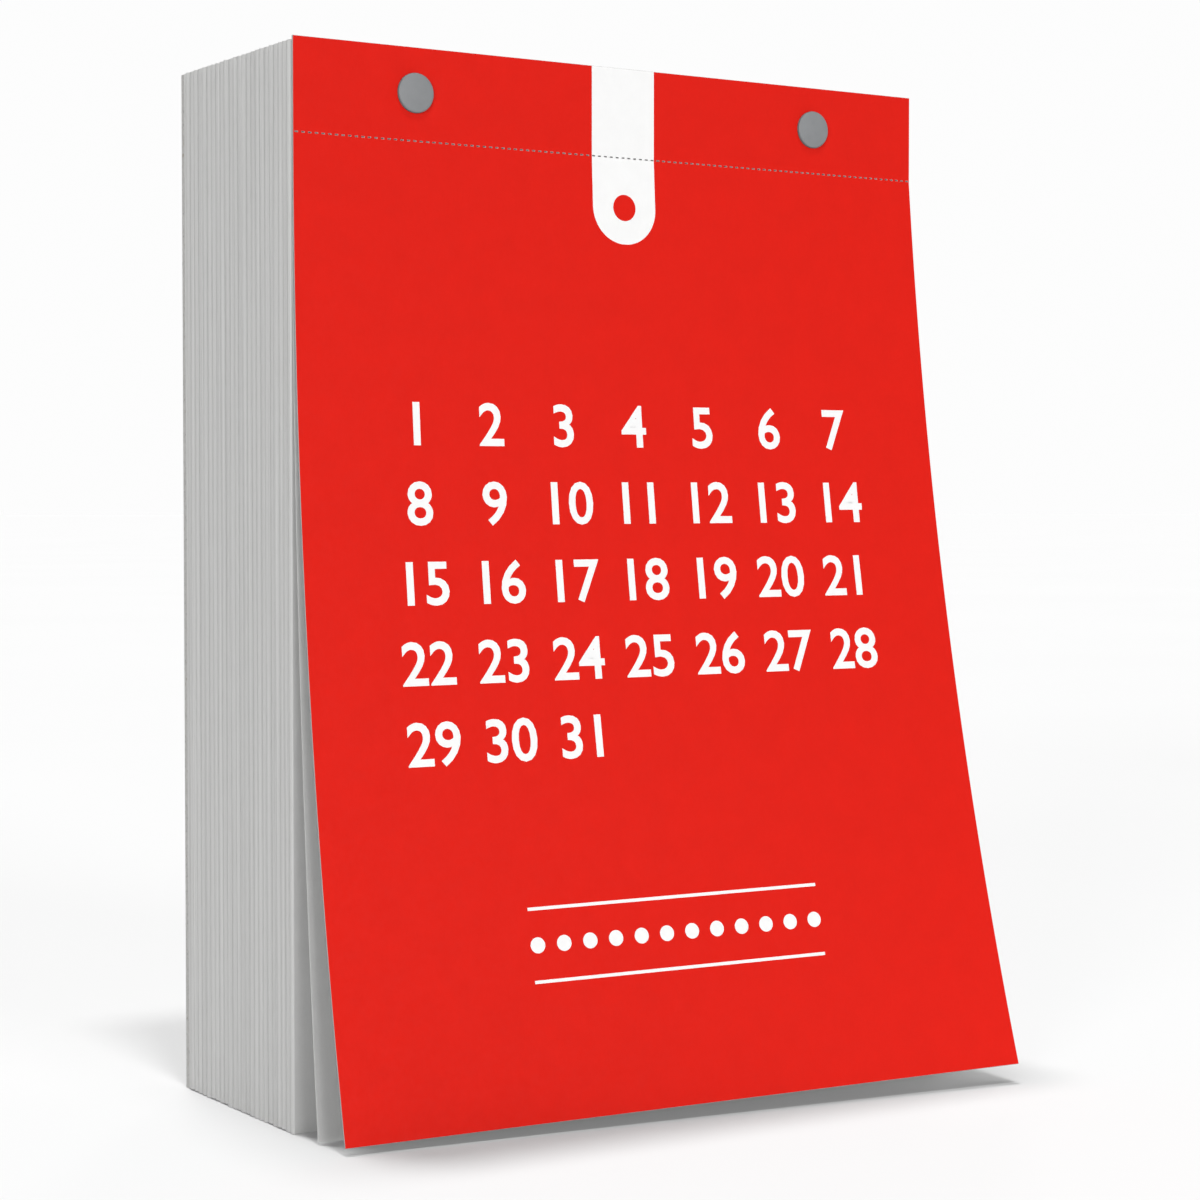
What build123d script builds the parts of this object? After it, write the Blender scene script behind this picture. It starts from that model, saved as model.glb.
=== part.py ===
"""A tear-off day calendar: 365 leaves and a cover, riveted at the top to a backing board.

Millimetres. +Z is up and the cover faces -Y. The origin is the middle of the block's foot.
"""

import os
from math import cos, radians, sin

from build123d import *

# Paper and board
page_width = 105.0
page_height = 148.0
leaf_thickness = 0.095
cover_thickness = 0.3
board_thickness = 1.6
# air in front of and behind the first leaf, which is lifted
loose_gap = 0.1

# Leaves of each month, from the front of the block to the back
month_days = {
    "january": 31,
    "february": 28,
    "march": 31,
    "april": 30,
    "may": 31,
    "june": 30,
    "july": 31,
    "august": 31,
    "september": 30,
    "october": 31,
    "november": 30,
    "december": 31,
}
# leaves of the first month that are lifted off the block
lifted_leaves = 1

# Perforation: a row of ties between the bound stub and the sheet that comes off
stub_height = 12.5
tie_pitch = 1.0
tie_width = 0.4
tie_height = 0.5
tie_clearance = 0.05

# Curl of the lifted sheets: the angle that the leaf turns from its top to its lower edge,
# how much further the cover turns, and how far the cover's right side is folded forward as well
leaf_curl_angle = 5.9
cover_extra_angle = 6.4
cover_fold_angle = 5.2

# Rivets: a post from the back and a cap pressed into it from the front
rivet_inset = 18.6
barrel_diameter = 4.0
barrel_wall = 0.7
barrel_setback = 1.2
hole_clearance = 0.15
stem_clearance = 0.05
stem_length = 16.0
bore_spare = 2.0
head_rim = 0.6
head_height = 0.5
head_rounding = 0.25
flange_rim = 1.85
flange_height = 0.9
flange_rounding = 0.3

# Layers from front to back
bound_leaves = sum(month_days.values()) - lifted_leaves
depth = (
    cover_thickness
    + loose_gap
    + leaf_thickness
    + loose_gap
    + bound_leaves * leaf_thickness
    + board_thickness
)
cover_front = -depth / 2
cover_back = cover_front + cover_thickness
leaf_front = cover_back + loose_gap
leaf_back = leaf_front + leaf_thickness
block_front = leaf_back + loose_gap
block_back = block_front + bound_leaves * leaf_thickness
board_back = block_back + board_thickness

# Levels of the perforation. The sheets fold along the front edge of the ties' top.
stub_bottom = page_height - stub_height
tie_top = stub_bottom - tie_clearance
tie_bottom = tie_top - tie_height
sheet_top = tie_bottom - tie_clearance
tie_count = int(page_width / tie_pitch) - 1

# Rivets sit halfway down the stub
rivet_height = stub_bottom + stub_height / 2
rivet_places = {"left": rivet_inset - page_width / 2, "right": page_width / 2 - rivet_inset}
hole_diameter = barrel_diameter + 2 * hole_clearance
bore_diameter = barrel_diameter - 2 * barrel_wall
stem_diameter = bore_diameter - 2 * stem_clearance
head_diameter = hole_diameter + 2 * head_rim
flange_diameter = hole_diameter + 2 * flange_rim
barrel_front = cover_front + barrel_setback
bore_depth = stem_length - barrel_setback + bore_spare

os.makedirs("parts", exist_ok=True)


def save(part, name):
    part.label = name
    export_step(part, f"parts/{name}.step")


def punched_panel(back, thickness, bottom):
    """A flat panel of the page's width, from a bottom level to the page's top, with both rivet holes."""
    with BuildPart() as panel:
        with BuildSketch(Plane.XZ.offset(-back)):
            with Locations((0, (bottom + page_height) / 2)):
                Rectangle(page_width, page_height - bottom)
            with Locations(*[(x, rivet_height) for x in rivet_places.values()]):
                Circle(hole_diameter / 2, mode=Mode.SUBTRACT)
        extrude(amount=thickness)
    return panel.part


def tie_row(front, thickness):
    """The ties that the perforation leaves across the page."""
    with BuildPart() as ties:
        with BuildSketch(Plane.XY.offset(tie_bottom)):
            with Locations((0, front + thickness / 2)):
                with GridLocations(tie_pitch, thickness, tie_count, 1):
                    Rectangle(tie_width, thickness)
        extrude(amount=tie_height)
    return ties.part


def curl_outline(x, front, thickness, curl_angle, fold_angle=0):
    """The side view, at x, of a sheet that is folded forward at the perforation and curls on from there."""
    radius = sheet_top / radians(curl_angle)
    fold = radians(fold_angle)
    centre = (front - radius * cos(fold), sheet_top + radius * sin(fold))
    with BuildSketch(Plane.YZ.offset(x)) as outline:
        with BuildLine():
            face_arc = CenterArc(centre, radius, -fold_angle, -curl_angle)
            back_arc = CenterArc(centre, radius + thickness, -fold_angle, -curl_angle)
            Line(face_arc @ 0, back_arc @ 0)
            Line(face_arc @ 1, back_arc @ 1)
        make_face()
    return outline.sketch


# Backing board
save(punched_panel(board_back, board_thickness, 0), "backing_board")

# Bound leaves, one pad for each month
pad_front = block_front
for month, days in month_days.items():
    lifted = lifted_leaves if month == "january" else 0
    pad_thickness = (days - lifted) * leaf_thickness
    pad_back = pad_front + pad_thickness
    save(punched_panel(pad_back, pad_thickness, 0), f"{month}_leaves")
    pad_front = pad_back

# First leaf: the bound stub, the ties and the sheet
save(punched_panel(leaf_back, leaf_thickness, stub_bottom), "first_leaf_stub")
save(tie_row(leaf_front, leaf_thickness), "first_leaf_ties")

with BuildPart() as first_leaf:
    leaf_outline = curl_outline(-page_width / 2, leaf_front, leaf_thickness, leaf_curl_angle)
    extrude(leaf_outline, amount=page_width)
save(first_leaf.part, "first_leaf")

# Cover: the same three, with the right side of the sheet lifted further than the left
cover_curl_angle = leaf_curl_angle + cover_extra_angle
save(punched_panel(cover_back, cover_thickness, stub_bottom), "cover_stub")
save(tie_row(cover_front, cover_thickness), "cover_ties")

with BuildPart() as cover_sheet:
    left_outline = curl_outline(-page_width / 2, cover_front, cover_thickness, cover_curl_angle)
    right_outline = curl_outline(page_width / 2, cover_front, cover_thickness, cover_curl_angle, cover_fold_angle)
    loft([left_outline, right_outline], ruled=True)
save(cover_sheet.part, "cover_sheet")

# Rivets
for side, rivet_x in rivet_places.items():
    with BuildPart() as rivet_post:
        with BuildSketch(Plane.XZ.offset(-board_back)):
            with Locations((rivet_x, rivet_height)):
                Circle(flange_diameter / 2)
        extrude(amount=-flange_height)
        flange_edge = rivet_post.faces().sort_by(Axis.Y)[-1].edges()
        fillet(flange_edge, flange_rounding)
        with BuildSketch(Plane.XZ.offset(-board_back)):
            with Locations((rivet_x, rivet_height)):
                Circle(barrel_diameter / 2)
        extrude(amount=board_back - barrel_front)
        with BuildSketch(Plane.XZ.offset(-barrel_front)):
            with Locations((rivet_x, rivet_height)):
                Circle(bore_diameter / 2)
        extrude(amount=-bore_depth, mode=Mode.SUBTRACT)
    save(rivet_post.part, f"rivet_post_{side}")

    with BuildPart() as rivet_cap:
        with BuildSketch(Plane.XZ.offset(-cover_front)):
            with Locations((rivet_x, rivet_height)):
                Circle(head_diameter / 2)
        extrude(amount=head_height)
        head_edge = rivet_cap.faces().sort_by(Axis.Y)[0].edges()
        fillet(head_edge, head_rounding)
        with BuildSketch(Plane.XZ.offset(-cover_front)):
            with Locations((rivet_x, rivet_height)):
                Circle(stem_diameter / 2)
        extrude(amount=-stem_length)
    save(rivet_cap.part, f"rivet_cap_{side}")
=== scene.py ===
"""The looks of a tear-off day calendar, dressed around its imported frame. Metres, in the row frame."""

import math
import random

import bpy
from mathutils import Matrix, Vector


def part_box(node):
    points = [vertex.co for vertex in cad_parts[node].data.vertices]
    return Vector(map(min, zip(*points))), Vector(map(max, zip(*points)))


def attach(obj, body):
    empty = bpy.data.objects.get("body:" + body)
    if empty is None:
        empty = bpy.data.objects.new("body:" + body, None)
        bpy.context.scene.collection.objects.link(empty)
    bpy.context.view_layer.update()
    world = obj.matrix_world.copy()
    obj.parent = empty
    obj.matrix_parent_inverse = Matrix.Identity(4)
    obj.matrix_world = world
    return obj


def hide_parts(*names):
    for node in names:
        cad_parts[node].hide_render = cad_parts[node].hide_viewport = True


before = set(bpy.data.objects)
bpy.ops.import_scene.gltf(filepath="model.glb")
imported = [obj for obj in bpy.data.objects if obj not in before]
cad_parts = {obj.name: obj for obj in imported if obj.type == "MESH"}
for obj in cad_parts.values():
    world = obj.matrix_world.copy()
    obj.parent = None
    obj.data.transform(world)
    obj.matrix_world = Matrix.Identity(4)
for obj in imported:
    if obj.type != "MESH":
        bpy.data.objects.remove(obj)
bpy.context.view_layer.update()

mm = 0.001

# Page sizes and levels, from the frame
stub_low, stub_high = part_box("cover_stub")
page_left = stub_low.x
page_right = stub_high.x
page_width = page_right - page_left
page_top = stub_high.z
stub_bottom = stub_low.z
stub_down = page_top - stub_bottom
sheet_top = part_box("cover_sheet")[1].z
sheet_down = page_top - sheet_top

# Layers, from the frame
cover_front = stub_low.y
cover_thickness = stub_high.y - stub_low.y
leaf_low, leaf_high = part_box("first_leaf_stub")
leaf_front = leaf_low.y
leaf_pitch = leaf_high.y - leaf_low.y
board_low, board_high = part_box("backing_board")
board_thickness = board_high.y - board_low.y

# Rivets: places and outer sizes from the frame, and the sizes that lie inside its boxes
rivet_sides = ("left", "right")
cap_boxes = {side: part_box(f"rivet_cap_{side}") for side in rivet_sides}
post_boxes = {side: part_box(f"rivet_post_{side}") for side in rivet_sides}
rivet_xs = [(low.x + high.x) / 2 for low, high in cap_boxes.values()]
rivet_z = (cap_boxes["left"][0].z + cap_boxes["left"][1].z) / 2
rivet_down = page_top - rivet_z
head_radius = (cap_boxes["left"][1].x - cap_boxes["left"][0].x) / 2
flange_radius = (post_boxes["left"][1].x - post_boxes["left"][0].x) / 2
barrel_radius = 2.0 * mm
bore_radius = 1.3 * mm
stem_radius = 1.25 * mm
bore_depth = 16.8 * mm
hole_radius = 2.15 * mm
# half the side of the square cell that a punched panel has round each hole
hole_cell = 5.0 * mm

# Perforation: short cuts in a row. Their edges are broken back, so that the core of the card shows, whose
# grey is painted shade for the shadowed walls of the cuts.
tie_pitch = 1.0 * mm
tie_width = 0.6 * mm
tie_rounding = 0.05 * mm
end_tie_width = 0.28 * mm
tie_count = round(page_width / tie_pitch) - 1
cut_height = 0.105 * mm
cut_rounding = 0.05 * mm
cut_middle = (stub_down + sheet_down) / 2
cut_top = cut_middle - cut_height / 2
cut_bottom = cut_middle + cut_height / 2

# Small roundings and the thickness of printed ink
card_rounding = 0.04 * mm
leaf_rounding = 0.015 * mm
board_rounding = 0.18 * mm
ink_film = 0.015 * mm

# Cut edges of the bound leaves: rounded ribs of about fifteen leaves, and a little play in each leaf
leaf_fill = 0.9
rib_leaves = (13, 17)
rib_height = (0.14 * mm, 0.32 * mm)
rib_foot_play = 0.22 * mm
rib_levels = 5
leaf_play = 0.005 * mm
foot_play = 0.03 * mm
head_drop = 0.5 * mm
wander = random.Random(365)

# Fineness of the meshes
sharp_angle = math.radians(30)
stub_hole_segments = 48
leaf_hole_segments = 32
panel_hole_segments = 16
dot_segments = 32
turned_segments = 64
turned_steps = 8

# An edge is taken as level where this share of its normal points up or down
level_share = 0.9


# Flat outlines, seen from the front, in x and in distance down from the page's top


def grid_patch(xs, downs, open_cells=()):
    """Points and faces of a grid that faces the front. Cells in open_cells, by column and row, stay open."""
    points = [(x, down) for down in downs for x in xs]
    across = len(xs)
    faces = []
    for row in range(len(downs) - 1):
        for column in range(across - 1):
            if (column, row) not in open_cells:
                corner = row * across + column
                faces.append((corner, corner + across, corner + across + 1, corner + 1))
    return points, faces


def punched_patch(xs, downs, hole_cells, ring_radii, segments):
    """A grid with a round hole in each of hole_cells. ring_radii run from the outermost ring to the hole."""
    points, faces = grid_patch(xs, downs, hole_cells)
    across = len(xs)
    quarter = segments // 4
    first_angle = math.radians(135)
    for column, row in hole_cells:
        centre_x = (xs[column] + xs[column + 1]) / 2
        centre_down = (downs[row] + downs[row + 1]) / 2
        corner = row * across + column
        corners = (corner, corner + across, corner + across + 1, corner + 1)
        rings = []
        for radius in ring_radii:
            rings.append([len(points) + step for step in range(segments)])
            for step in range(segments):
                angle = first_angle + math.tau * step / segments
                ring_x = centre_x + radius * math.cos(angle)
                ring_down = centre_down - radius * math.sin(angle)
                points.append((ring_x, ring_down))
        for side in range(4):
            arc = [rings[0][step % segments] for step in range(side * quarter, (side + 1) * quarter + 1)]
            faces.append((corners[side], corners[(side + 1) % 4], *reversed(arc)))
        for outer, inner in zip(rings, rings[1:]):
            for step in range(segments):
                after = (step + 1) % segments
                faces.append((outer[step], outer[after], inner[after], inner[step]))
    return points, faces


def disc_patch(x, down, radius):
    """A round dot."""
    angles = [math.tau * step / dot_segments for step in range(dot_segments)]
    points = [(x + radius * math.cos(angle), down - radius * math.sin(angle)) for angle in angles]
    return points, [tuple(range(dot_segments))]


def text_patch(text, size, weight, x, down):
    """The filled outlines of a number, centred at x and down. weight thickens its strokes."""
    curve = bpy.data.curves.new("number", "FONT")
    curve.body = text
    curve.size = size
    curve.offset = weight
    curve.align_x = "CENTER"
    curve.align_y = "CENTER"
    curve.fill_mode = "FRONT"
    curve.resolution_u = 4
    holder = bpy.data.objects.new("number", curve)
    bpy.context.scene.collection.objects.link(holder)
    graph = bpy.context.evaluated_depsgraph_get()
    flat = bpy.data.meshes.new_from_object(holder.evaluated_get(graph))
    points = [(x + vertex.co.x, down - vertex.co.y) for vertex in flat.vertices]
    faces = [tuple(face.vertices) for face in flat.polygons]
    bpy.data.objects.remove(holder)
    bpy.data.curves.remove(curve)
    bpy.data.meshes.remove(flat)
    return points, faces


def joined(patches):
    """Several patches as one."""
    points = []
    faces = []
    for patch_points, patch_faces in patches:
        start = len(points)
        points.extend(patch_points)
        faces.extend(tuple(start + index for index in face) for face in patch_faces)
    return points, faces


def steps(start, end, count):
    """Evenly spaced values from start to end, both included."""
    return [start + (end - start) * number / count for number in range(count + 1)]


# Surfaces that the outlines are laid on: place(x, down, depth) gives the point that far behind the face


def flat_place(front):
    """An upright plane."""

    def place(x, down, depth):
        return Vector((x, front + depth, page_top - down))

    return place


def pressed_place(front, press, fade):
    """An upright plane of card that the rivet heads press in a little."""

    def place(x, down, depth):
        reach = min(math.hypot(x - rivet_x, down - rivet_down) for rivet_x in rivet_xs)
        share = min(max((reach - head_radius) / fade, 0), 1)
        dip = press * (1 - share * share * (3 - 2 * share))
        return Vector((x, front + depth + dip, page_top - down))

    return place


def side_arc(node, front, side):
    """The fold and the radius of a hanging sheet's curl at one side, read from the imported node."""
    near = 0.01 * mm
    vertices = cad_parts[node].data.vertices
    points = [vertex.co for vertex in vertices if abs(vertex.co.x - side) < near]
    upper = [point for point in points if point.z > sheet_top - cut_height]
    back_corner = max(upper, key=lambda point: point.y)
    fold = math.atan2(sheet_top - back_corner.z, back_corner.y - front)
    foot = min(points, key=lambda point: point.y)
    lean = math.atan2(front - foot.y, sheet_top - foot.z)
    chord = math.hypot(front - foot.y, sheet_top - foot.z)
    return fold, chord / (2 * math.sin(lean - fold))


def hanging_place(node, front):
    """The face of a sheet that hangs from the perforation and curls forward, each side by its own amount."""
    sides = [(side, *side_arc(node, front, side)) for side in (page_left, page_right)]
    probe = 0.1 * mm

    def on_face(x, down):
        share = (x - page_left) / page_width
        ends = []
        for side, fold, radius in sides:
            turn = fold + (down - sheet_down) / radius
            y = front - radius * (math.cos(fold) - math.cos(turn))
            z = sheet_top + radius * (math.sin(fold) - math.sin(turn))
            ends.append(Vector((side, y, z)))
        return ends[0].lerp(ends[1], share)

    def place(x, down, depth):
        across = on_face(x + probe, down) - on_face(x - probe, down)
        along = on_face(x, down + probe) - on_face(x, down - probe)
        return on_face(x, down) + across.cross(along).normalized() * depth

    return place


def leaf_place(front, thickness, rib, top_drop):
    """A bound leaf whose cut edges follow the rib that it lies in."""
    heights, front_share, back_share, foot_rise, play = rib
    half_width = page_width / 2
    head = rivet_down - hole_cell

    def place(x, down, depth):
        level = down / page_top * (rib_levels - 1)
        upper = min(int(level), rib_levels - 2)
        height = heights[upper] + (heights[upper + 1] - heights[upper]) * (level - upper)
        share = front_share + (back_share - front_share) * depth / thickness
        stand_out = height * math.sin(math.pi * share) + play
        z = page_top - down - top_drop * max(1 - down / head, 0) + foot_rise * down / page_top
        return Vector((x * (1 + stand_out / half_width), front + depth, z))

    return place


def proud(place):
    """The same surface, raised by the thickness of the ink."""

    def raised(x, down, depth):
        return place(x, down, depth - ink_film)

    return raised


# Meshes


def mesh_piece(name, vertices, faces, materials, face_slots):
    """A mesh object with smooth faces and sharp edges where it turns."""
    mesh = bpy.data.meshes.new(name)
    mesh.from_pydata(vertices, [], faces)
    for finish in materials:
        mesh.materials.append(finish)
    for face, slot in zip(mesh.polygons, face_slots):
        face.material_index = slot
        face.use_smooth = True
    mesh.set_sharp_from_angle(angle=sharp_angle)
    mesh.update()
    piece = bpy.data.objects.new(name, mesh)
    bpy.context.scene.collection.objects.link(piece)
    return piece


def drawn_in(edges):
    """How far a rim point moves in from its two edges, each of which has an outward normal and a rounding."""
    straight_turn = 0.05
    (first, first_size), (second, second_size) = edges
    turn = first.x * second.y - first.y * second.x
    if abs(turn) < straight_turn:
        return first * first_size
    x = (first_size * second.y - second_size * first.y) / turn
    y = (second_size * first.x - first_size * second.x) / turn
    return Vector((x, y))


def slab(patch, place, thickness, rounding=None):
    """Vertices, faces and face slots of a closed sheet: slot 0 is its face, 1 its cut edges and 2 its back.

    rounding(normal) gives how far the edge that faces that way is broken back.
    """
    points, faces = patch
    face_edges = [(face[number - 1], face[number]) for face in faces for number in range(len(face))]
    known = set(face_edges)
    rim = [edge for edge in face_edges if edge[::-1] not in known]
    rim_edges = {}
    for start, end in rim:
        run = Vector(points[end]) - Vector(points[start])
        normal = Vector((-run.y, run.x)).normalized()
        size = rounding(normal) if rounding else 0
        rim_edges.setdefault(start, []).append((normal, size))
        rim_edges.setdefault(end, []).append((normal, size))
    levels = ("front", "front side", "back side", "back") if rounding else ("front", "back")
    vertices = []
    at = {}
    for level, kind in enumerate(levels):
        for index, point in enumerate(points):
            spot = Vector(point)
            depth = thickness if kind.startswith("back") else 0
            if index in rim_edges and rounding:
                size = max(size for normal, size in rim_edges[index])
                if kind.endswith("side"):
                    depth += size if kind.startswith("front") else -size
                else:
                    spot = spot - drawn_in(rim_edges[index])
            elif kind.endswith("side"):
                continue
            at[level, index] = len(vertices)
            vertices.append(place(spot.x, spot.y, depth))
    last = len(levels) - 1
    slab_faces = [tuple(at[0, index] for index in face) for face in faces]
    slots = [0] * len(faces)
    for level in range(last):
        for start, end in rim:
            near_edge = (at[level, end], at[level, start])
            far_edge = (at[level + 1, start], at[level + 1, end])
            slab_faces.append(near_edge + far_edge)
            slots.append(1)
    slab_faces.extend(tuple(at[last, index] for index in reversed(face)) for face in faces)
    slots.extend([2] * len(faces))
    return vertices, slab_faces, slots


def slab_piece(name, patch, place, thickness, rounding, materials):
    """A closed sheet as one mesh object."""
    vertices, faces, slots = slab(patch, place, thickness, rounding)
    return mesh_piece(name, vertices, faces, materials, slots)


def print_piece(name, patches, place, ink):
    """Printed shapes: a film that stands a hair proud of the surface and reaches as far into it."""
    return slab_piece(name, joined(patches), proud(place), 2 * ink_film, None, [ink, ink, ink])


def turned_piece(name, profile, centre_x, material):
    """A piece turned about a rivet's axis. The profile is radius and y, from the axis round to the axis."""
    vertices = []
    rings = []
    for radius, y in profile:
        count = turned_segments if radius else 1
        rings.append([len(vertices) + step for step in range(count)])
        for step in range(count):
            angle = math.tau * step / count
            x = centre_x + radius * math.cos(angle)
            z = rivet_z + radius * math.sin(angle)
            vertices.append(Vector((x, y, z)))
    faces = []
    for near, far in zip(rings, rings[1:]):
        for step in range(turned_segments):
            corners = (near[step % len(near)], near[(step + 1) % len(near)])
            corners += (far[(step + 1) % len(far)], far[step % len(far)])
            faces.append(tuple(dict.fromkeys(corners)))
    return mesh_piece(name, vertices, faces, [material], [0] * len(faces))


def even_rounding(size):
    """The same rounding on every edge."""
    return lambda normal: size


def stub_rounding(size):
    """A stub's edges, with its perforated lower edge broken back further."""
    return lambda normal: max(size, cut_rounding) if normal.y > level_share else size


def sheet_rounding(size):
    """A sheet's edges, with its perforated upper edge broken back further."""
    return lambda normal: max(size, cut_rounding) if normal.y < -level_share else size


def side_rounding(size):
    """A tie's sides are broken back, and its ends run on into the stub and the sheet."""
    return lambda normal: 0 if abs(normal.y) > level_share else size


def dress(piece, body, slot, *nodes):
    """Rides the piece on its body and hides the nodes that it stands for. slot is not used."""
    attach(piece, body)
    if nodes:
        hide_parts(*nodes)
    return piece


# Materials

white = (1, 1, 1)
# most values of a noise lie between these two
noise_low = 0.3
noise_high = 0.7


def new_material(name):
    """A material with its node tree and its shader."""
    made = bpy.data.materials.new(name)
    made.use_nodes = True
    return made, made.node_tree, made.node_tree.nodes["Principled BSDF"]


def noise(tree, scale=1, detail=3, stretch=(1, 1, 1)):
    """Noise over the piece's own coordinates, with scale times stretch features per metre."""
    coordinates = tree.nodes.new("ShaderNodeTexCoord")
    mapping = tree.nodes.new("ShaderNodeMapping")
    mapping.inputs["Scale"].default_value = stretch
    texture = tree.nodes.new("ShaderNodeTexNoise")
    texture.inputs["Scale"].default_value = scale
    texture.inputs["Detail"].default_value = detail
    tree.links.new(coordinates.outputs["Object"], mapping.inputs["Vector"])
    tree.links.new(mapping.outputs["Vector"], texture.inputs["Vector"])
    return texture.outputs["Fac"]


def shades(tree, value, dark, light, start=noise_low, end=noise_high):
    """A colour that goes from dark to light while the noise goes from start to end."""
    ramp = tree.nodes.new("ShaderNodeValToRGB")
    ramp.color_ramp.elements[0].position = start
    ramp.color_ramp.elements[0].color = (*dark, 1)
    ramp.color_ramp.elements[1].position = end
    ramp.color_ramp.elements[1].color = (*light, 1)
    tree.links.new(value, ramp.inputs["Fac"])
    return ramp.outputs["Color"]


def between(tree, value, low, high):
    """A number between low and high, by the noise."""
    spread = tree.nodes.new("ShaderNodeMapRange")
    spread.inputs["From Min"].default_value = noise_low
    spread.inputs["From Max"].default_value = noise_high
    spread.inputs["To Min"].default_value = low
    spread.inputs["To Max"].default_value = high
    tree.links.new(value, spread.inputs["Value"])
    return spread.outputs["Result"]


def multiplied(tree, first, second):
    """Two colours multiplied."""
    mix = tree.nodes.new("ShaderNodeMix")
    mix.data_type = "RGBA"
    mix.blend_type = "MULTIPLY"
    mix.inputs["Factor"].default_value = 1
    tree.links.new(first, mix.inputs["A"])
    tree.links.new(second, mix.inputs["B"])
    return mix.outputs["Result"]


def roughened(tree, shader, height, depth):
    """Fine relief, depth metres from its lows to its highs."""
    bump = tree.nodes.new("ShaderNodeBump")
    bump.inputs["Strength"].default_value = 1
    bump.inputs["Distance"].default_value = depth
    tree.links.new(height, bump.inputs["Height"])
    tree.links.new(bump.outputs["Normal"], shader.inputs["Normal"])


def toned(colour, factor):
    """A colour made lighter or darker."""
    return tuple(channel * factor for channel in colour)


def paper_material(name, colour, mottle, roughness, specular, relief):
    """Paper, plain or printed: cloudy formation, short fibres, and a matt surface of uneven roughness."""
    made, tree, shader = new_material(name)
    cloud_noise = noise(tree, scale=260, detail=4)
    fibre_noise = noise(tree, scale=3200, stretch=(1, 1, 0.35))
    gloss_noise = noise(tree, scale=1400)
    cloud = shades(tree, cloud_noise, toned(colour, 1 - mottle), toned(colour, 1 + mottle))
    fibre = shades(tree, fibre_noise, toned(white, 1 - mottle), white)
    tree.links.new(multiplied(tree, cloud, fibre), shader.inputs["Base Color"])
    tree.links.new(between(tree, gloss_noise, *roughness), shader.inputs["Roughness"])
    shader.inputs["Specular IOR Level"].default_value = specular
    roughened(tree, shader, fibre_noise, relief)
    return made


def cut_edge_material(name, colour):
    """The trimmed edges of many leaves: each leaf its own tone, with faint marks of the knife across them."""
    made, tree, shader = new_material(name)
    leaf_noise = noise(tree, detail=1, stretch=(300, 9000, 14))
    rib_noise = noise(tree, detail=2, stretch=(60, 900, 9))
    knife_noise = noise(tree, detail=2, stretch=(900, 500, 2600))
    leaf_tone = shades(tree, leaf_noise, toned(colour, 0.9), toned(colour, 1.04))
    rib_tone = shades(tree, rib_noise, toned(white, 0.92), white)
    tree.links.new(multiplied(tree, leaf_tone, rib_tone), shader.inputs["Base Color"])
    tree.links.new(between(tree, knife_noise, low=0.75, high=0.95), shader.inputs["Roughness"])
    shader.inputs["Specular IOR Level"].default_value = 0.2
    roughened(tree, shader, knife_noise, depth=0.008 * mm)
    return made


def fibres(tree, turn, length, tint):
    """Sparse thin fibres in an upright board, turned from level: the tint on a fibre and white elsewhere."""
    width = 0.36 * mm
    strand_middle = 0.28
    strand_edge = 0.345
    coordinates = tree.nodes.new("ShaderNodeTexCoord")
    mapping = tree.nodes.new("ShaderNodeMapping")
    mapping.vector_type = "TEXTURE"
    mapping.inputs["Rotation"].default_value = (0, math.radians(turn), 0)
    mapping.inputs["Scale"].default_value = (length, width, width)
    texture = tree.nodes.new("ShaderNodeTexNoise")
    texture.inputs["Scale"].default_value = 1
    texture.inputs["Detail"].default_value = 2
    tree.links.new(coordinates.outputs["Object"], mapping.inputs["Vector"])
    tree.links.new(mapping.outputs["Vector"], texture.inputs["Vector"])
    return shades(tree, texture.outputs["Fac"], tint, white, strand_middle, strand_edge)


def greyboard_material(name, colour):
    """Pressed recycled board: fine grey pulp with grey and brown fibres that lie every way."""
    made, tree, shader = new_material(name)
    pulp_noise = noise(tree, scale=1150, detail=6)
    pulp = shades(tree, pulp_noise, toned(colour, 0.92), toned(colour, 1.06))
    cool_fibres = fibres(tree, turn=15, length=1.5 * mm, tint=(0.6, 0.6, 0.62))
    brown_fibres = fibres(tree, turn=68, length=1.2 * mm, tint=(0.7, 0.64, 0.56))
    grey_fibres = fibres(tree, turn=128, length=1.8 * mm, tint=(0.66, 0.66, 0.66))
    board_colour = pulp
    for strands in (cool_fibres, brown_fibres, grey_fibres):
        board_colour = multiplied(tree, board_colour, strands)
    tree.links.new(board_colour, shader.inputs["Base Color"])
    tree.links.new(between(tree, pulp_noise, low=0.82, high=0.95), shader.inputs["Roughness"])
    shader.inputs["Specular IOR Level"].default_value = 0.2
    roughened(tree, shader, pulp_noise, depth=0.025 * mm)
    return made


def plastic_material(name, colour):
    """Smooth moulded plastic with the faint unevenness of its mould."""
    made, tree, shader = new_material(name)
    haze_noise = noise(tree, scale=700)
    grain_noise = noise(tree, scale=2600, detail=2)
    haze = shades(tree, haze_noise, toned(colour, 0.96), toned(colour, 1.04))
    tree.links.new(haze, shader.inputs["Base Color"])
    tree.links.new(between(tree, haze_noise, low=0.42, high=0.54), shader.inputs["Roughness"])
    shader.inputs["Specular IOR Level"].default_value = 0.35
    roughened(tree, shader, grain_noise, depth=0.004 * mm)
    return made


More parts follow.
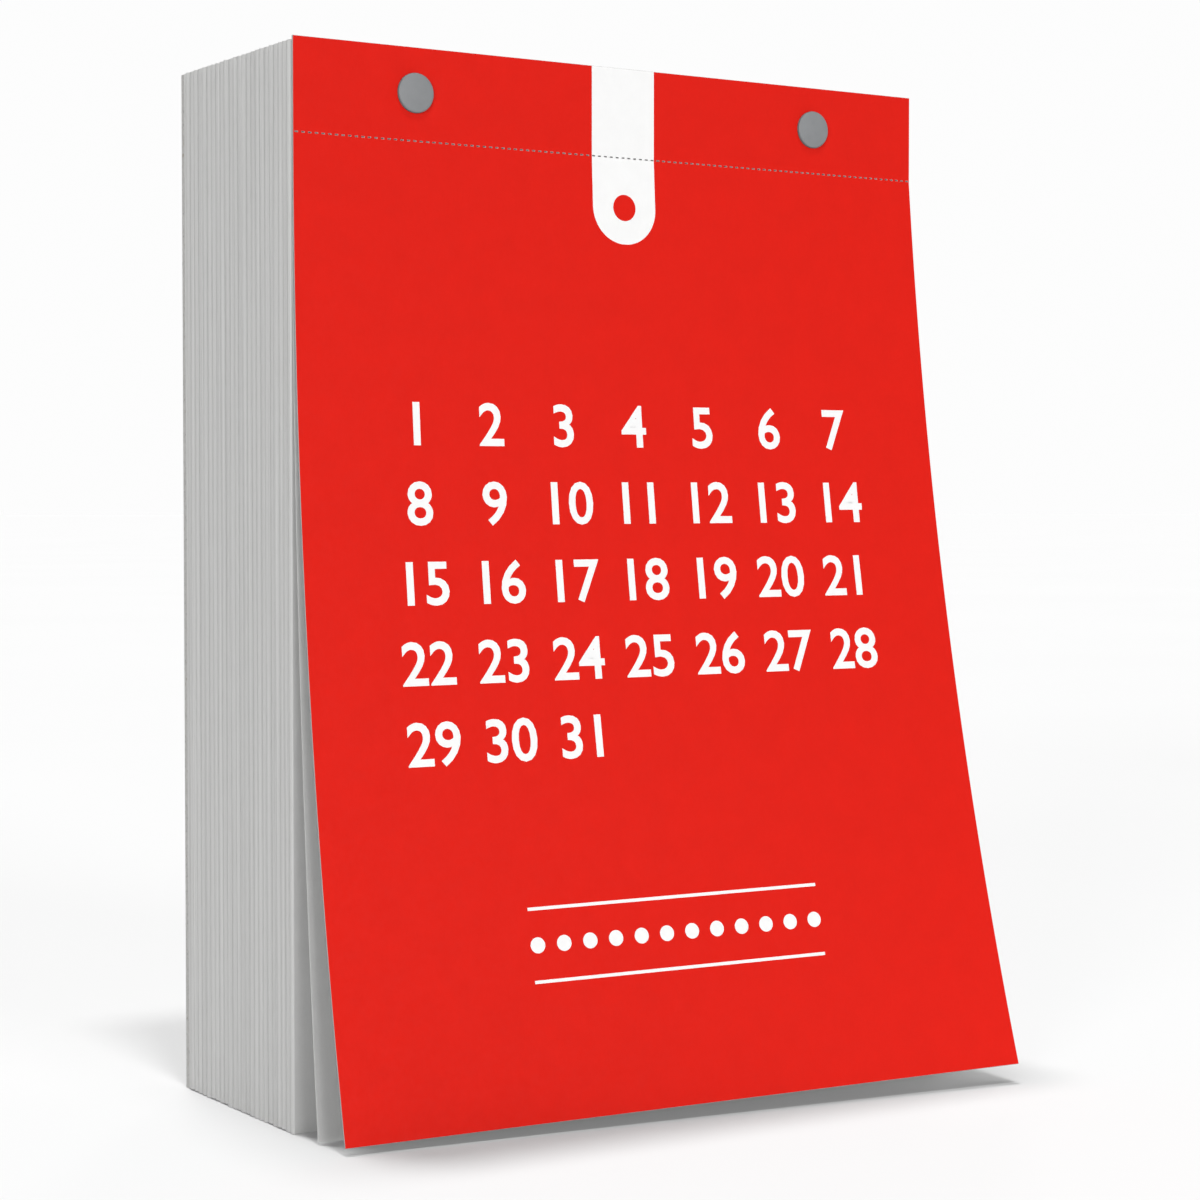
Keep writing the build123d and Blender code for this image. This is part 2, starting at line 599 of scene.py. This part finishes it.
red_print = paper_material(
    "red_print",
    colour=(0.745, 0.012, 0.0055),
    mottle=0.02,
    roughness=(0.5, 0.64),
    specular=0.09,
    relief=0.006 * mm,
)
white_print = paper_material(
    "white_print",
    colour=(0.95, 0.95, 0.945),
    mottle=0.012,
    roughness=(0.5, 0.64),
    specular=0.12,
    relief=0.006 * mm,
)
# The card's core is grey as painted shade: it stands in for the shadow in the perforation's cuts and on the
# card's cut edges.
card_core_painted_shade = paper_material(
    "card_core_painted_shade",
    colour=(0.46, 0.456, 0.448),
    mottle=0.03,
    roughness=(0.8, 0.95),
    specular=0.2,
    relief=0.012 * mm,
)
card_back = paper_material(
    "card_back",
    colour=(0.82, 0.815, 0.8),
    mottle=0.025,
    roughness=(0.7, 0.85),
    specular=0.25,
    relief=0.01 * mm,
)
leaf_paper = paper_material(
    "leaf_paper",
    colour=(0.83, 0.83, 0.82),
    mottle=0.02,
    roughness=(0.7, 0.85),
    specular=0.25,
    relief=0.008 * mm,
)
leaf_edge = cut_edge_material("leaf_edge", (0.83, 0.83, 0.82))
grey_ink = paper_material(
    "grey_ink",
    colour=(0.045, 0.045, 0.05),
    mottle=0.06,
    roughness=(0.55, 0.7),
    specular=0.25,
    relief=0.006 * mm,
)
pale_ink = paper_material(
    "pale_ink",
    colour=(0.5, 0.5, 0.5),
    mottle=0.04,
    roughness=(0.55, 0.7),
    specular=0.25,
    relief=0.006 * mm,
)
greyboard = greyboard_material("greyboard", (0.64, 0.635, 0.62))
rivet_plastic = plastic_material("rivet_plastic", (0.232, 0.239, 0.246))

card = [red_print, card_core_painted_shade, card_back]
leaf = [leaf_paper, leaf_paper, leaf_paper]
cut_leaf = [leaf_paper, leaf_edge, leaf_paper]
board_finish = [greyboard, greyboard, greyboard]


# Punched strips and panels


def punched_columns(side_count):
    """Columns of a punched panel.

    Each rivet hole has a square cell, with side_count cells outside it and twice as many between the holes.
    """
    left_x, right_x = rivet_xs
    return [
        *steps(page_left, left_x - hole_cell, side_count),
        *steps(left_x + hole_cell, right_x - hole_cell, 2 * side_count),
        *steps(right_x + hole_cell, page_right, side_count),
    ]


def hole_cells(xs, row):
    """The cells of a row that hold the rivet holes."""
    return [(xs.index(rivet_x - hole_cell), row) for rivet_x in rivet_xs]


def stub_patch(top, ring_radii, segments):
    """The bound strip above the perforation."""
    xs = punched_columns(side_count=4)
    downs = [top, rivet_down - hole_cell, rivet_down + hole_cell, cut_top]
    return punched_patch(xs, downs, hole_cells(xs, row=1), ring_radii, segments)


def panel_patch(top):
    """A whole page, punched for the rivets."""
    xs = punched_columns(side_count=1)
    quarters = steps(page_top / 4, page_top, 3)
    downs = [top, rivet_down - hole_cell, rivet_down + hole_cell, *quarters]
    return punched_patch(xs, downs, hole_cells(xs, row=1), [hole_radius], panel_hole_segments)


tie_xs = [(number - (tie_count - 1) / 2) * tie_pitch for number in range(tie_count)]
tie_spans = [(x - tie_width / 2, x + tie_width / 2) for x in tie_xs]
tie_spans.insert(0, (page_left, page_left + end_tie_width))
tie_spans.append((page_right - end_tie_width, page_right))


def tie_patches(spans, reach):
    """Ties of the perforation, which reach over the broken edges of the stub and the sheet."""
    downs = [cut_top - reach, cut_bottom + reach]
    return [grid_patch(span, downs) for span in spans]


def sheet_patch(columns, rows):
    """The sheet below the perforation."""
    return grid_patch(steps(page_left, page_right, columns), steps(cut_bottom, page_top, rows))


# Cover: bound stub, ties and sheet

# how far the rivet heads press the stub in, the width over which that fades, and its mesh's rings there
head_press = 0.07 * mm
press_fade = 1.9 * mm
press_rings = [4.7 * mm, 4.1 * mm, 3.5 * mm, 3.0 * mm, hole_radius]
cover_stub_place = pressed_place(cover_front, head_press, press_fade)
cover_place = hanging_place("cover_sheet", cover_front)
cover_tie_place = flat_place(cover_front)

cover_stub = slab_piece(
    "cover_stub_card",
    stub_patch(top=0, ring_radii=press_rings, segments=stub_hole_segments),
    cover_stub_place,
    cover_thickness,
    stub_rounding(card_rounding),
    card,
)
dress(cover_stub, "block", "cover_card", "cover_stub")

cover_ties = slab_piece(
    "cover_tie_row",
    joined(tie_patches(tie_spans, cut_rounding)),
    cover_tie_place,
    cover_thickness,
    side_rounding(tie_rounding),
    card,
)
dress(cover_ties, "cover_fold", "cover_card", "cover_ties")

cover_sheet = slab_piece(
    "cover_sheet_card",
    sheet_patch(columns=56, rows=80),
    cover_place,
    cover_thickness,
    sheet_rounding(card_rounding),
    card,
)
dress(cover_sheet, "cover", "cover_card", "cover_sheet")

# Cover print: a white tab with a dot, a month of numbers, and a row of twelve dots between two rules
tab_half_width = 5.3 * mm
tab_round_down = 20.0 * mm
tab_dot_radius = 1.9 * mm
tab_straight_steps = 6
tab_round_steps = 14
# the tab's round end stops a little short of its lowest point, where a short straight edge closes it
tab_round_turn = math.radians(84)

tab_stub_rows = [card_rounding, cut_top - cut_rounding]
tab_stub = print_piece(
    "cover_tab_stub",
    [grid_patch([-tab_half_width, tab_half_width], tab_stub_rows)],
    cover_stub_place,
    white_print,
)
dress(tab_stub, "block", "cover_card")


def tab_end_patch():
    """The part of the tab below the perforation, with its round end."""
    straight_downs = steps(cut_bottom + cut_rounding, tab_round_down, tab_straight_steps)
    outline = [(down, tab_half_width) for down in straight_downs]
    for turn in steps(0, tab_round_turn, tab_round_steps)[1:]:
        down = tab_round_down + tab_half_width * math.sin(turn)
        outline.append((down, tab_half_width * math.cos(turn)))
    points = []
    for down, half_width in outline:
        points.extend([(-half_width, down), (half_width, down)])
    faces = [(2 * row, 2 * row + 2, 2 * row + 3, 2 * row + 1) for row in range(len(outline) - 1)]
    return points, faces


tab_tie_spans = []
for tie_start, tie_end in tie_spans:
    tab_start = max(tie_start + tie_rounding, -tab_half_width)
    tab_stop = min(tie_end - tie_rounding, tab_half_width)
    if tab_start < tab_stop:
        tab_tie_spans.append((tab_start, tab_stop))
tab_tie_patches = tie_patches(tab_tie_spans, cut_rounding)
tab_ties = print_piece("cover_tab_ties", tab_tie_patches, cover_tie_place, white_print)
dress(tab_ties, "cover_fold", "cover_card")

tab_end = print_piece("cover_tab_sheet", [tab_end_patch()], cover_place, white_print)
dress(tab_end, "cover", "cover_card")

tab_dot_patch = disc_patch(x=0, down=tab_round_down, radius=tab_dot_radius)
tab_dot = print_piece("cover_tab_dot", [tab_dot_patch], proud(cover_place), red_print)
dress(tab_dot, "cover", "cover_card")

week_days = 7
month_days = 31
number_size = 8.4 * mm
number_weight = 0.12 * mm
number_pitch_x = 11.6 * mm
number_pitch_down = 11.0 * mm
first_number_down = 52.0 * mm
number_patches = []
for day in range(month_days):
    week, week_day = divmod(day, week_days)
    number_x = (week_day - (week_days - 1) / 2) * number_pitch_x
    number_down = first_number_down + week * number_pitch_down
    number_patch = text_patch(str(day + 1), number_size, number_weight, number_x, number_down)
    number_patches.append(number_patch)
numbers = print_piece("cover_numbers", number_patches, cover_place, white_print)
dress(numbers, "cover", "cover_card")

month_count = 12
month_dot_radius = 1.1 * mm
month_dot_pitch = 4.0 * mm
month_row_down = 124.0 * mm
rule_offset = 5.0 * mm
rule_width = 0.45 * mm
rule_half_length = 23.0 * mm
foot_patches = []
for month in range(month_count):
    dot_x = (month - (month_count - 1) / 2) * month_dot_pitch
    foot_patches.append(disc_patch(dot_x, month_row_down, month_dot_radius))
for rule_down in (month_row_down - rule_offset, month_row_down + rule_offset):
    rule_rows = [rule_down - rule_width / 2, rule_down + rule_width / 2]
    foot_patches.append(grid_patch([-rule_half_length, rule_half_length], rule_rows))
foot_print = print_piece("cover_foot_print", foot_patches, cover_place, white_print)
dress(foot_print, "cover", "cover_card")

# First leaf: bound stub, ties and sheet
first_leaf_place = hanging_place("first_leaf", leaf_front)

leaf_stub = slab_piece(
    "first_leaf_stub_paper",
    stub_patch(top=head_drop, ring_radii=[hole_radius], segments=leaf_hole_segments),
    flat_place(leaf_front),
    leaf_pitch,
    even_rounding(leaf_rounding),
    leaf,
)
dress(leaf_stub, "block", "leaf_paper", "first_leaf_stub")

leaf_ties = slab_piece(
    "first_leaf_tie_row",
    joined(tie_patches(tie_spans, leaf_rounding)),
    flat_place(leaf_front),
    leaf_pitch,
    None,
    leaf,
)
dress(leaf_ties, "first_leaf_fold", "leaf_paper", "first_leaf_ties")

leaf_sheet = slab_piece(
    "first_leaf_sheet_paper",
    sheet_patch(columns=42, rows=60),
    first_leaf_place,
    leaf_pitch,
    even_rounding(leaf_rounding),
    leaf,
)
dress(leaf_sheet, "first_leaf", "leaf_paper", "first_leaf")

# Leaf print: the day's number, and a dot for each day of the week with that day's dot in red
day_size = 62.0 * mm
day_weight = 0.5 * mm
day_down = 68.0 * mm
week_dot_radius = 1.6 * mm
week_dot_pitch = 7.0 * mm
week_row_down = 118.0 * mm


def print_leaf(name, day, place, body):
    """The print of one day's leaf."""
    number_patch = text_patch(str(day), day_size, day_weight, x=0, down=day_down)
    number = print_piece(f"{name}_number", [number_patch], place, grey_ink)
    dress(number, body, "leaf_paper")
    dots = []
    for week_day in range(week_days):
        dot_x = (week_day - (week_days - 1) / 2) * week_dot_pitch
        dots.append(disc_patch(dot_x, week_row_down, week_dot_radius))
    today = dots.pop(day - 1)
    dress(print_piece(f"{name}_week_dots", dots, place, pale_ink), body, "leaf_paper")
    dress(print_piece(f"{name}_day_dot", [today], place, red_print), body, "leaf_paper")


print_leaf("first_leaf", 1, first_leaf_place, "first_leaf")

# Bound leaves, one mesh for each month
months = (
    "january", "february", "march", "april", "may", "june",
    "july", "august", "september", "october", "november", "december",
)


def leaf_ribs():
    """Endless shapes of the leaves' cut edges, from the front of the block.

    Each is its rib's height at each level, the share of the rib that lies before the leaf's front and before
    its back, how far the leaf's foot is raised, and the leaf's own play.
    """
    while True:
        leaves = wander.randint(*rib_leaves)
        heights = [wander.uniform(*rib_height) for level in range(rib_levels)]
        foot_rise = wander.uniform(0, rib_foot_play)
        for number in range(leaves):
            leaf_foot = foot_rise + abs(wander.gauss(0, foot_play))
            play = wander.gauss(0, leaf_play)
            yield heights, number / leaves, (number + 1) / leaves, leaf_foot, play


ribs = leaf_ribs()
whole_leaf = panel_patch(top=0)
leaf_thickness = leaf_pitch * leaf_fill
for month in months:
    node = f"{month}_leaves"
    low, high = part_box(node)
    leaf_count = round((high.y - low.y) / leaf_pitch)
    vertices = []
    faces = []
    slots = []
    for number in range(leaf_count):
        top_drop = head_drop + wander.gauss(0, foot_play)
        place = leaf_place(low.y + number * leaf_pitch, leaf_thickness, next(ribs), top_drop)
        leaf_vertices, leaf_faces, leaf_slots = slab(whole_leaf, place, leaf_thickness)
        start = len(vertices)
        vertices.extend(leaf_vertices)
        faces.extend(tuple(start + index for index in face) for face in leaf_faces)
        slots.extend(leaf_slots)
    pad = mesh_piece(f"{month}_leaf_stack", vertices, faces, cut_leaf, slots)
    dress(pad, "block", "leaf_paper", node)

block_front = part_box("january_leaves")[0].y
print_leaf("second_leaf", 2, flat_place(block_front), "block")

# Backing board
board = slab_piece(
    "greyboard_back",
    panel_patch(top=head_drop),
    flat_place(board_low.y),
    board_thickness,
    even_rounding(board_rounding),
    board_finish,
)
dress(board, "block", "greyboard", "backing_board")

# Rivets: crowned heads and flanges with rounded rims. The head sits head_seat deep in the pressed card.
crown = 0.12 * mm
edge_radius = 0.22 * mm
head_seat = 0.05 * mm


def rounded(radius, y, corner, away):
    """A quarter round at a turned piece's rim, from its face at y to its side.

    away is 1 or -1, the way along y that leads into the piece.
    """
    points = []
    for turn in steps(0, math.pi / 2, turned_steps):
        in_from_rim = corner * (1 - math.sin(turn))
        below_face = corner * (1 - math.cos(turn))
        points.append((radius - in_from_rim, y + away * below_face))
    return points


def crowned(radius, y, height, away):
    """A shallow dome from the axis out to radius."""
    return [(radius * share, y + away * height * share * share) for share in steps(0, 1, turned_steps)]


for side, rivet_x in zip(rivet_sides, rivet_xs):
    cap_low, cap_high = cap_boxes[side]
    post_low, post_high = post_boxes[side]
    flat_radius = head_radius - edge_radius
    cap_profile = [
        *crowned(flat_radius, cap_low.y, crown, 1)[:-1],
        *rounded(head_radius, cap_low.y + crown, edge_radius, 1),
        (head_radius, cover_front + head_seat),
        (stem_radius, cover_front + head_seat),
        (stem_radius, cap_high.y - edge_radius),
        (stem_radius - edge_radius, cap_high.y),
        (0, cap_high.y),
    ]
    cap = turned_piece(f"rivet_cap_{side}_moulded", cap_profile, rivet_x, rivet_plastic)
    dress(cap, "block", "rivet_plastic", f"rivet_cap_{side}")
    flange_flat = flange_radius - edge_radius
    post_profile = [
        (0, post_low.y + bore_depth),
        (bore_radius, post_low.y + bore_depth),
        (bore_radius, post_low.y),
        (barrel_radius, post_low.y),
        (barrel_radius, board_high.y),
        (flange_radius, board_high.y),
        *reversed(rounded(flange_radius, post_high.y - crown, edge_radius, -1)),
        *reversed(crowned(flange_flat, post_high.y, crown, -1)[:-1]),
    ]
    post = turned_piece(f"rivet_post_{side}_moulded", post_profile, rivet_x, rivet_plastic)
    dress(post, "block", "rivet_plastic", f"rivet_post_{side}")


# Stage: a pale floor that runs out of sight under a white sky

# Angles are in degrees, and a sun's azimuth runs from the front towards the right. A sun's light bounces
# only as often as its bounces say, which keeps the red of the cover from colouring the floor.
suns = {
    "front_sun": {"strength": 1.23, "azimuth": 7, "elevation": 8, "width": 20, "bounces": 0},
    "left_sun": {"strength": 1.1, "azimuth": -53, "elevation": 8, "width": 16, "bounces": 0},
    "rear_sun": {"strength": 0.6, "azimuth": 140, "elevation": 6, "width": 10, "bounces": 3},
    "high_left_sun": {"strength": 1.5, "azimuth": 193, "elevation": 79.4, "width": 6, "bounces": 1},
    "high_right_sun": {"strength": 0.57, "azimuth": 165, "elevation": 79.4, "width": 6, "bounces": 1},
    "high_front_sun": {"strength": 0.95, "azimuth": -10, "elevation": 70, "width": 7, "bounces": 0},
}
sky_light = 0.1
sky_seen = 0.98
floor_half_size = 60.0
floor_cells = 8
floor_tone = 0.75
floor_mottle = 0.005
# the floor's own glow makes up what its lit tone lacks of the sky's white
floor_light = sky_light
for sun in suns.values():
    floor_light += sun["strength"] / math.pi * math.sin(math.radians(sun["elevation"]))
floor_glow = sky_seen - floor_tone * floor_light


def background_ray(tree):
    """One where the ray comes from the camera, or by way of a reflection or a clear body."""
    path = tree.nodes.new("ShaderNodeLightPath")
    total = path.outputs["Is Camera Ray"]
    for name in ("Is Glossy Ray", "Is Transmission Ray"):
        larger = tree.nodes.new("ShaderNodeMath")
        larger.operation = "MAXIMUM"
        tree.links.new(total, larger.inputs[0])
        tree.links.new(path.outputs[name], larger.inputs[1])
        total = larger.outputs["Value"]
    return total


def floor_material():
    """A matt pale floor that also glows a little where it is looked at, so that only its shadows are grey."""
    made, tree, shader = new_material("pale_floor")
    mottle_noise = noise(tree, scale=3, detail=2)
    darker = toned(white, floor_tone - floor_mottle)
    lighter = toned(white, floor_tone + floor_mottle)
    tone = shades(tree, mottle_noise, darker, lighter)
    tree.links.new(tone, shader.inputs["Base Color"])
    shader.inputs["Roughness"].default_value = 1
    shader.inputs["Specular IOR Level"].default_value = 0
    shader.inputs["Emission Color"].default_value = (1, 1, 1, 1)
    glow = tree.nodes.new("ShaderNodeMath")
    glow.operation = "MULTIPLY"
    glow.inputs[1].default_value = floor_glow
    tree.links.new(background_ray(tree), glow.inputs[0])
    tree.links.new(glow.outputs["Value"], shader.inputs["Emission Strength"])
    return made


floor_reach = steps(-floor_half_size, floor_half_size, floor_cells)
floor_vertices = [Vector((x, y, 0)) for y in floor_reach for x in floor_reach]
floor_faces = grid_patch(floor_reach, floor_reach)[1]
floor = mesh_piece(
    "floor",
    floor_vertices,
    [tuple(reversed(face)) for face in floor_faces],
    [floor_material()],
    [0] * len(floor_faces),
)

world = bpy.data.worlds.new("white_sky")
bpy.context.scene.world = world
world.use_nodes = True
sky = world.node_tree
lit = sky.nodes["Background"]
lit.inputs["Color"].default_value = (1, 1, 1, 1)
lit.inputs["Strength"].default_value = sky_light
seen = sky.nodes.new("ShaderNodeBackground")
seen.inputs["Color"].default_value = (1, 1, 1, 1)
seen.inputs["Strength"].default_value = sky_seen
chosen = sky.nodes.new("ShaderNodeMixShader")
sky.links.new(background_ray(sky), chosen.inputs["Fac"])
sky.links.new(lit.outputs["Background"], chosen.inputs[1])
sky.links.new(seen.outputs["Background"], chosen.inputs[2])
sky.links.new(chosen.outputs["Shader"], sky.nodes["World Output"].inputs["Surface"])

# Lamps: low suns from the front, the left and the rear, and high narrow ones that shade the floor
for name, sun in suns.items():
    light = bpy.data.lights.new(name, "SUN")
    light.energy = sun["strength"]
    light.angle = math.radians(sun["width"])
    light.cycles.max_bounces = sun["bounces"]
    light.cycles.use_multiple_importance_sampling = False
    lamp = bpy.data.objects.new(name, light)
    turn = math.radians(sun["azimuth"])
    rise = math.radians(sun["elevation"])
    towards = Vector((math.sin(turn) * math.cos(rise), -math.cos(turn) * math.cos(rise), math.sin(rise)))
    lamp.rotation_mode = "QUATERNION"
    lamp.rotation_quaternion = towards.to_track_quat("Z", "Y")
    lamp.location = towards
    bpy.context.scene.collection.objects.link(lamp)

# Camera at the photograph's viewpoint
image_size = 1200
focal_pixels = 2725.9
sensor_width = 36.0
camera_place = (-0.2137315, -0.3496487, 0.0845845)
camera_yaw = -0.5646
camera_pitch = -0.033
camera = bpy.data.cameras.new("camera")
camera.sensor_width = sensor_width
camera.lens = focal_pixels / image_size * sensor_width
camera.clip_start = 0.01
camera.clip_end = 4 * floor_half_size
camera_stand = bpy.data.objects.new("camera", camera)
camera_stand.location = camera_place
camera_stand.rotation_euler = (math.pi / 2 + camera_pitch, 0, camera_yaw)
bpy.context.scene.collection.objects.link(camera_stand)
bpy.context.scene.camera = camera_stand

bpy.context.scene.view_settings.view_transform = "Standard"
